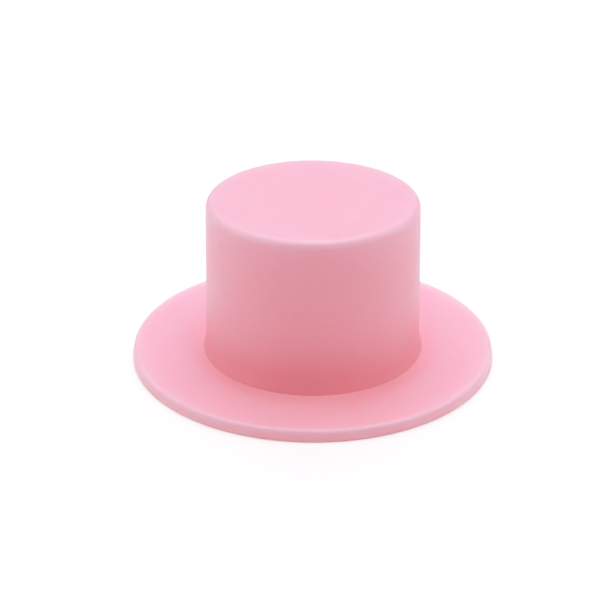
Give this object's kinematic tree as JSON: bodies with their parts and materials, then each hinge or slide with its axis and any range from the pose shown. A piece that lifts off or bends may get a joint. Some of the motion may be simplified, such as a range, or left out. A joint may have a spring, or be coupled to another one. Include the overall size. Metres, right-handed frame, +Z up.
{
  "type": "miniature top hat",
  "caption": "Miniature top hat in pink plastic: a hollow drafted crown with a flat top, bonded into a flat-based brim that is shallowly dished on top.",
  "frame": {"origin": "centre of the flat underside that the hat stands on", "axes": "+Z up along the crown's axis, from the underside to the crown's top; the hat is round about it, so +X and +Y are free"},
  "size_m": [0.04, 0.04, 0.0184],
  "materials": {
    "pink_plastic": "satin moulded plastic, coloured right through"
  },
  "bodies": {
    "root": {"crown_shell": "pink_plastic", "brim_ring": "pink_plastic"}
  },
  "joints": []
}
